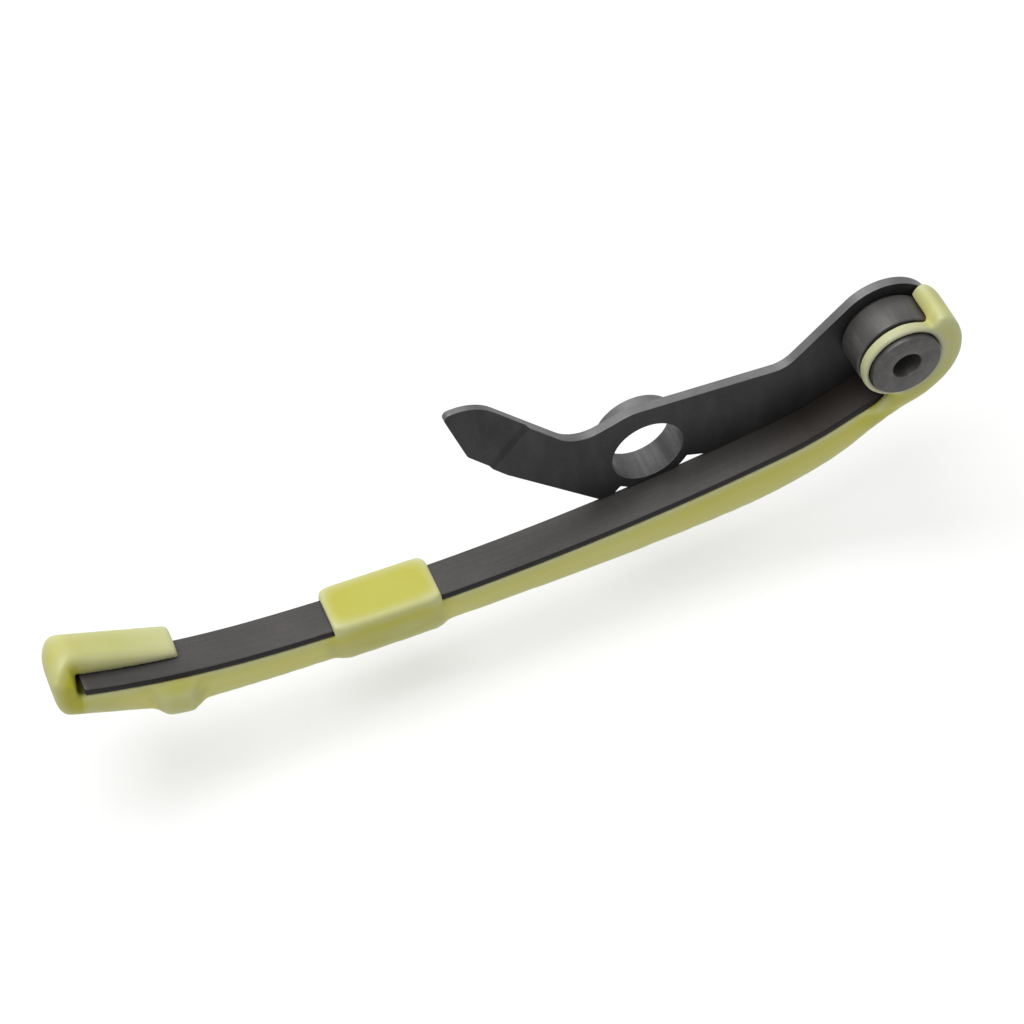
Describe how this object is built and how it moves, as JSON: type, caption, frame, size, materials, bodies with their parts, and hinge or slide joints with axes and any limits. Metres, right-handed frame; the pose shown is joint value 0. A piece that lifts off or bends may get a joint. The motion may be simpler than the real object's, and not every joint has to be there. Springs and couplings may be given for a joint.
{
  "type": "timing chain guide",
  "caption": "Cam-chain tensioner guide: stamped arm with a drawn pivot collar and riveted eye pin, carrying a hinged leaf-spring blade faced with a moulded nylon slipper.",
  "frame": {"origin": "on the axis of the pivot bore, in the plane of the arm's front face", "axes": "+X along the blade towards the eye pin, +Y along the pivot axis away from the blade, +Z from the rubbing face towards the arm"},
  "size_m": [0.1505, 0.0149, 0.0404],
  "materials": {
    "arm_steel": "dark phosphated pressing",
    "pin_steel": "turned, dull",
    "spring_steel": "heat-treated strip",
    "nylon": "pale yellow-green moulded nylon"
  },
  "bodies": {
    "arm": {"arm": "arm_steel", "eye_pin": "pin_steel"},
    "blade": {"leaf_spring": "spring_steel", "shoe": "nylon"}
  },
  "joints": [
    {"name": "blade_swing", "type": "hinge", "parent": "arm", "child": "blade", "pos_m": [0.04049, -0.0031, 0.00935], "axis": [0, 1, 0], "range_deg": [-10, 0]}
  ]
}
